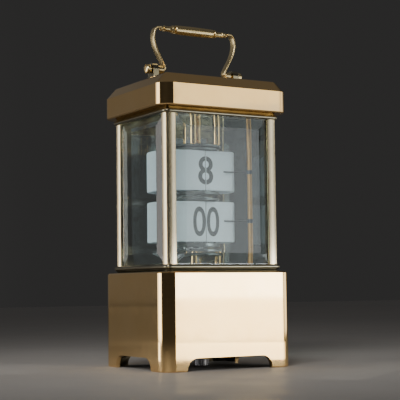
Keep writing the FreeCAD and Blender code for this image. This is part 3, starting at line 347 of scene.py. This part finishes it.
def leaf_outline(start, low, high):
    """A leaf with square corners at its wire and rounded ones at its free end."""
    points = [(start, low)]
    for middle_z, first in ((low + LEAF_CORNER, -90), (high - LEAF_CORNER, 0)):
        for step in range(7):
            turn = math.radians(first + step * 15)
            points.append((LEAF_END - LEAF_CORNER + LEAF_CORNER * math.cos(turn),
                           middle_z + LEAF_CORNER * math.sin(turn)))
    points.append((start, high))
    return points


def add_leaf(mesh, k, count, low, high):
    place = leaf_place(k, count)
    side = -1 if k < count / 2 else 1
    start = {0: RIGHT_EDGE - hinge_x(count), count - 1: LEFT_EDGE - hinge_x(count)}.get(k, LEAF_START)
    middle = side * LEAF_OFF
    prism(mesh, leaf_outline(start, low, high), middle - LEAF_HALF_T, middle + LEAF_HALF_T, place)
    knuckle = (high - low) / 5
    circle = [(CURL_R * math.cos(t * math.pi / 4), CURL_R * math.sin(t * math.pi / 4)) for t in range(8)]
    for z in (low + CURL_IN, (low + high - knuckle) / 2, high - knuckle - CURL_IN):
        prism(mesh, circle, z, z + knuckle, lambda u, v, w: place(u, w, v))


def numeral_mesh(text, width, height):
    """The outline of a number from the built-in font, filled flat and scaled to a width and height."""
    curve = bpy.data.curves.new("numeral", "FONT")
    curve.body = text
    curve.offset = INK_SPREAD
    curve.resolution_u = 5
    holder = bpy.data.objects.new("numeral", curve)
    bpy.context.scene.collection.objects.link(holder)
    bpy.context.view_layer.update()
    data = bpy.data.meshes.new_from_object(holder.evaluated_get(bpy.context.evaluated_depsgraph_get()))
    mesh = bmesh.new()
    mesh.from_mesh(data)
    bpy.data.meshes.remove(data)
    bpy.data.objects.remove(holder)
    bpy.data.curves.remove(curve)
    bmesh.ops.remove_doubles(mesh, verts=mesh.verts, dist=1e-5)
    xs = [v.co.x for v in mesh.verts]
    ys = [v.co.y for v in mesh.verts]
    for v in mesh.verts:
        v.co.x = ((v.co.x - min(xs)) / (max(xs) - min(xs)) - 0.5) * width
        v.co.y = ((v.co.y - min(ys)) / (max(ys) - min(ys)) - 0.5) * height
        v.co.z = 0.0
    return mesh


def add_half(mesh, numeral, right, k, count, middle_z):
    """Print half of a numeral on leaf k: its right half on the front, or its left half on the back."""
    half = numeral.copy()
    sign = 1 if right else -1
    edge_x = SPLIT if k in (0, count - 1) else hinge_x(count) + LEAF_START
    bmesh.ops.bisect_plane(half, geom=[*half.verts, *half.edges, *half.faces], clear_outer=True,
                           plane_co=(sign * edge_x, 0, 0), plane_no=(-sign, 0, 0))
    place = leaf_place(k, count)
    surface = (-1 if k < count / 2 else 1) * LEAF_OFF - sign * LEAF_HALF_T
    levels = (surface, surface - sign * INK_T)
    copies = {}
    for v in half.verts:
        s = sign * v.co.x - hinge_x(count)
        copies[v] = [mesh.verts.new(place(s, middle_z + v.co.y, level)) for level in levels]
    for face in half.faces:
        mesh.faces.new([copies[v][0] for v in face.verts])
        mesh.faces.new([copies[v][1] for v in reversed(face.verts)])
    for edge in half.edges:
        if len(edge.link_faces) == 1:
            a, b = edge.verts
            mesh.faces.new((copies[a][0], copies[b][0], copies[b][1], copies[a][1]))
    half.free()


def make_drum_leaves(prefix, texts, sizes, low, high):
    """All leaves of one drum. The turning leaf is the first and rides on a body of its own."""
    count = len(texts)
    numerals = {}
    middle_z = (low + high) / 2
    groups = ((prefix + "_turning_leaf", range(1), prefix + "_leaf"),
              (prefix + "_leaves", range(1, count), prefix + "_drum"))
    for node, members, body in groups:
        leaves, ink = bmesh.new(), bmesh.new()
        for k in members:
            add_leaf(leaves, k, count, low, high)
            for right, text in ((True, texts[k]), (False, texts[(k + 1) % count])):
                if text not in numerals:
                    numerals[text] = numeral_mesh(text, *sizes[len(text)])
                add_half(ink, numerals[text], right, k, count, middle_z)
        for mesh in (leaves, ink):
            bmesh.ops.recalc_face_normals(mesh, faces=mesh.faces)
        new_piece(node + "_sheet", leaves, LEAF, body, "leaf_card", node)
        new_piece(node + "_numerals", ink, INK, body, "leaf_card")
    for mesh in numerals.values():
        mesh.free()


def make_all_leaves():
    """Four leaves an hour and one a minute, set at eight o'clock."""
    hours = [str((7 + k // 4) % 12 + 1) for k in range(48)]
    minutes = [f"{k:02d}" for k in range(60)]
    make_drum_leaves("hour", hours, HOUR_SIZES, *HOUR_LEVELS)
    make_drum_leaves("minute", minutes, MINUTE_SIZES, *MINUTE_LEVELS)


# ---- handle arms: flat straps with rounded edges, bent to an S

ARM_PATH = ((18.9, 164.6), (20.6, 164.7), (21.9, 163.9), (22.7, 161.9), (22.9, 159.4), (22.3, 156.0),
            (21.0, 152.8), (19.4, 149.9), (18.0, 147.4), (17.1, 145.6), (17.2, 144.1), (18.2, 143.6))
ARM_HALF_T = 0.42
ARM_HALF_W = 2.0
ARM_ROUND = 0.85        # the edges' radius, as a share of half the thickness
PIVOT_Z = 143.8
EYE_PROFILE = ((17.3, 0), (17.3, 1.7), (17.6, 2.0), (20.4, 2.0), (20.7, 1.7), (20.7, 0))


def smooth_path(points, steps):
    """Points on a Catmull-Rom curve through a few chosen ones."""
    known = [Vector(p) for p in points]
    known = [2 * known[0] - known[1]] + known + [2 * known[-1] - known[-2]]
    path = []
    for i in range(1, len(known) - 2):
        p0, p1, p2, p3 = known[i - 1:i + 3]
        for step in range(steps):
            t = step / steps
            path.append(0.5 * (2 * p1 + (p2 - p0) * t + (2 * p0 - 5 * p1 + 4 * p2 - p3) * t ** 2
                               + (3 * p1 - p0 - 3 * p2 + p3) * t ** 3))
    path.append(known[-2])
    return path


def strap_section():
    """A rectangle with rounded edges, as points (across the strap, through it)."""
    radius = ARM_HALF_T * ARM_ROUND
    points = []
    for cx, cy, first in ((1, 1, 0), (-1, 1, 90), (-1, -1, 180), (1, -1, 270)):
        for step in range(5):
            turn = math.radians(first + step * 22.5)
            points.append((cx * (ARM_HALF_W - radius) + radius * math.cos(turn),
                           cy * (ARM_HALF_T - radius) + radius * math.sin(turn)))
    return points


def turned(mesh, profile, z, side, segments=40):
    """A closed turned shape on the pivot line: the profile is (x, radius), both ends at radius 0."""
    rings = []
    for x, radius in profile:
        if radius == 0:
            rings.append([mesh.verts.new((side * x, 0, z))])
            continue
        turns = [2 * math.pi * i / segments for i in range(segments)]
        rings.append([mesh.verts.new((side * x, radius * math.cos(t), z + radius * math.sin(t)))
                      for t in turns])
    for first, second in zip(rings, rings[1:]):
        for i in range(segments):
            j = (i + 1) % segments
            corners = [first[i % len(first)], first[j % len(first)],
                       second[j % len(second)], second[i % len(second)]]
            mesh.faces.new(list(dict.fromkeys(corners)))


def make_arm(name, side):
    """A strap swept along its path, with a turned eye round the pivot screw."""
    mesh = bmesh.new()
    path = smooth_path(ARM_PATH, 8)
    section = strap_section()
    rings = []
    for i, at in enumerate(path):
        along = (path[min(i + 1, len(path) - 1)] - path[max(i - 1, 0)]).normalized()
        rings.append([mesh.verts.new((side * (at.x + v * along.y), u, at.y - v * along.x))
                      for u, v in section])
    for first, second in zip(rings, rings[1:]):
        for i in range(len(section)):
            j = (i + 1) % len(section)
            mesh.faces.new((first[i], first[j], second[j], second[i]))
    mesh.faces.new(rings[0])
    mesh.faces.new(rings[-1])
    turned(mesh, EYE_PROFILE, PIVOT_Z, side)
    bmesh.ops.recalc_face_normals(mesh, faces=mesh.faces)
    smooth(new_piece(name + "_strap", mesh, BRASS_HANDLE, "handle", "polished_brass", name))


make_all_leaves()
make_arm("handle_arm_left", -1)
make_arm("handle_arm_right", 1)


# ---------------------------------------------------------------- room, light and camera


def stage_material(name, first, second):
    m = Nodes(name)
    m.colour(m.blend(m.remap(m.noise(3.0), 0.0, 1.0), first, second))
    m.roughness(m.remap(m.noise(40.0), 0.5, 0.62))
    return m.material


def make_floor():
    bpy.ops.mesh.primitive_plane_add(size=4.0, location=(0, 0, 0))
    floor = bpy.context.object
    floor.name = "floor"
    floor.data.materials.append(stage_material("floor_pale", (0.44, 0.42, 0.405), (0.40, 0.385, 0.375)))


def area_light(name, at, aim, width, height, power, colour, spread):
    data = bpy.data.lights.new(name, "AREA")
    data.shape = "RECTANGLE"
    data.size = width
    data.size_y = height
    data.energy = power
    data.color = colour
    data.spread = spread
    lamp = bpy.data.objects.new(name, data)
    lamp.location = at
    direction = Vector(aim) - Vector(at)
    lamp.rotation_euler = direction.to_track_quat("-Z", "Y").to_euler()
    lamp.visible_camera = False
    bpy.context.scene.collection.objects.link(lamp)


# Glows of the studio: direction, cosines where it starts and is full, strength away from it and at it.
GLOWS = (((-0.55, 0.83, 0.0), 0.55, 0.97, 0.028, 0.13), ((0.0, 0.0, 1.0), 0.35, 0.9, 0.0, 0.07))


def make_world():
    """A dark studio with a dim glow low down behind the clock's left side and a little light overhead."""
    world = bpy.data.worlds.new("studio")
    world.use_nodes = True
    tree = world.node_tree
    background = tree.nodes["Background"]
    where = tree.nodes.new("ShaderNodeTexCoord")
    total = tree.nodes.new("ShaderNodeMath")
    total.operation = "ADD"
    for slot, (direction, start, full, low, high) in enumerate(GLOWS):
        toward = tree.nodes.new("ShaderNodeVectorMath")
        toward.operation = "DOT_PRODUCT"
        toward.inputs[1].default_value = direction
        tree.links.new(where.outputs["Generated"], toward.inputs[0])
        ramp = tree.nodes.new("ShaderNodeMapRange")
        ramp.interpolation_type = "SMOOTHSTEP"
        ramp.inputs["From Min"].default_value = start
        ramp.inputs["From Max"].default_value = full
        ramp.inputs["To Min"].default_value = low
        ramp.inputs["To Max"].default_value = high
        tree.links.new(toward.outputs["Value"], ramp.inputs["Value"])
        tree.links.new(ramp.outputs["Result"], total.inputs[slot])
    background.inputs["Color"].default_value = (1.0, 0.98, 0.96, 1)
    tree.links.new(total.outputs["Value"], background.inputs["Strength"])
    bpy.context.scene.world = world


COOL = (0.96, 0.99, 1.03)
WARM = (1.0, 0.97, 0.92)
CREAM = (1.0, 0.95, 0.78)
WHITE = (1.0, 1.0, 1.0)
# A softbox throws its light forward within this angle, in degrees, which keeps the floor dim.
SOFTBOX_SPREAD = 70
# The front softbox and the left one are each a stack of tiers, which are brightest low down.
FRONT = (35, 0.30, 0.150)       # bearing in degrees, distance and width in metres
LEFT = (-117, 0.32, 0.28)
# A tier: lowest, highest, radiance, colour.
FRONT_TIERS = ((0.0, 0.031, 6.0, CREAM), (0.031, 0.062, 9.0, COOL), (0.062, 0.167, 1.8, COOL),
               (0.167, 0.205, 2.4, CREAM), (0.205, 0.260, 0.35, COOL))
LEFT_TIERS = ((0.0, 0.061, 6.0, WARM), (0.061, 0.201, 4.5, WARM), (0.201, 0.255, 1.6, WARM))
# The other softboxes: name, bearing, distance, width, lowest, highest, radiance, colour.
SOFTBOXES = (
    ("kick_front", 35, 0.10, 0.12, 0.0, 0.0090, 5.4, CREAM),
    ("kick_left", -117, 0.10, 0.07, 0.0, 0.0095, 6.0, WARM),
    ("back_left", -150, 0.25, 0.25, 0.0, 0.026, 0.08, WARM),
    ("side", 72, 0.42, 0.28, 0.0, 0.06, 2.2, CREAM),
    ("side_high", 64, 0.42, 0.24, 0.175, 0.225, 1.6, CREAM),
    ("right", 84, 0.55, 0.30, 0.0, 0.30, 0.7, WHITE),
    ("rear", 176, 0.80, 0.30, 0.28, 0.63, 0.2, WHITE),
)
KEY_AT = (-0.30, -0.30, 0.355)
KEY_AIM = (0, 0, 0.08)


def softbox(name, bearing, distance, width, low, high, radiance, colour):
    """An upright softbox facing the clock. Bearing is from the front (-Y) toward +X, in degrees."""
    turn = math.radians(bearing)
    height = high - low
    middle = low + height / 2
    at = (distance * math.sin(turn), -distance * math.cos(turn), middle)
    # A narrower spread makes an area light brighter, so the power is scaled by the light in its cone.
    cone = math.radians(SOFTBOX_SPREAD) / 2
    forward = math.sin(cone) ** 2 / 2 - (cone / 2 - math.sin(2 * cone) / 4) / math.tan(cone)
    power = radiance * width * height * 2 * math.pi * forward
    area_light("softbox_" + name, at, (0, 0, middle), width, height, power, colour, 2 * cone)


def make_lights():
    for stack, place, tiers in (("front", FRONT, FRONT_TIERS), ("left", LEFT, LEFT_TIERS)):
        for i, tier in enumerate(tiers):
            softbox(f"{stack}_{i}", *place, *tier)
    for box in SOFTBOXES:
        softbox(*box)
    area_light("key", KEY_AT, KEY_AIM, 0.30, 0.18, 0.24, WARM, math.radians(64))


CAMERA_AT = (-0.28485, -0.49195, 0.03756)
CAMERA_TURN = (30.30, 4.36, -0.68)      # azimuth, pitch and roll, in degrees
LENS = 104.6


def make_camera():
    """A long lens from the front left, a little below the middle and looking slightly up."""
    azimuth, pitch, roll = (math.radians(angle) for angle in CAMERA_TURN)
    level = math.cos(pitch)
    look = Vector((math.sin(azimuth) * level, math.cos(azimuth) * level, math.sin(pitch)))
    right = Vector((math.cos(azimuth), -math.sin(azimuth), 0))
    up = right.cross(look)
    tilted_right = math.cos(roll) * right + math.sin(roll) * up
    tilted_up = -math.sin(roll) * right + math.cos(roll) * up
    data = bpy.data.cameras.new("camera")
    data.sensor_width = 36.0
    data.lens = LENS
    data.clip_start = 0.01
    camera = bpy.data.objects.new("camera", data)
    place = Matrix.Identity(4)
    for row in range(3):
        place[row][0] = tilted_right[row]
        place[row][1] = tilted_up[row]
        place[row][2] = -look[row]
        place[row][3] = CAMERA_AT[row]
    camera.matrix_world = place
    bpy.context.scene.collection.objects.link(camera)
    bpy.context.scene.camera = camera


make_floor()
make_world()
make_lights()
make_camera()
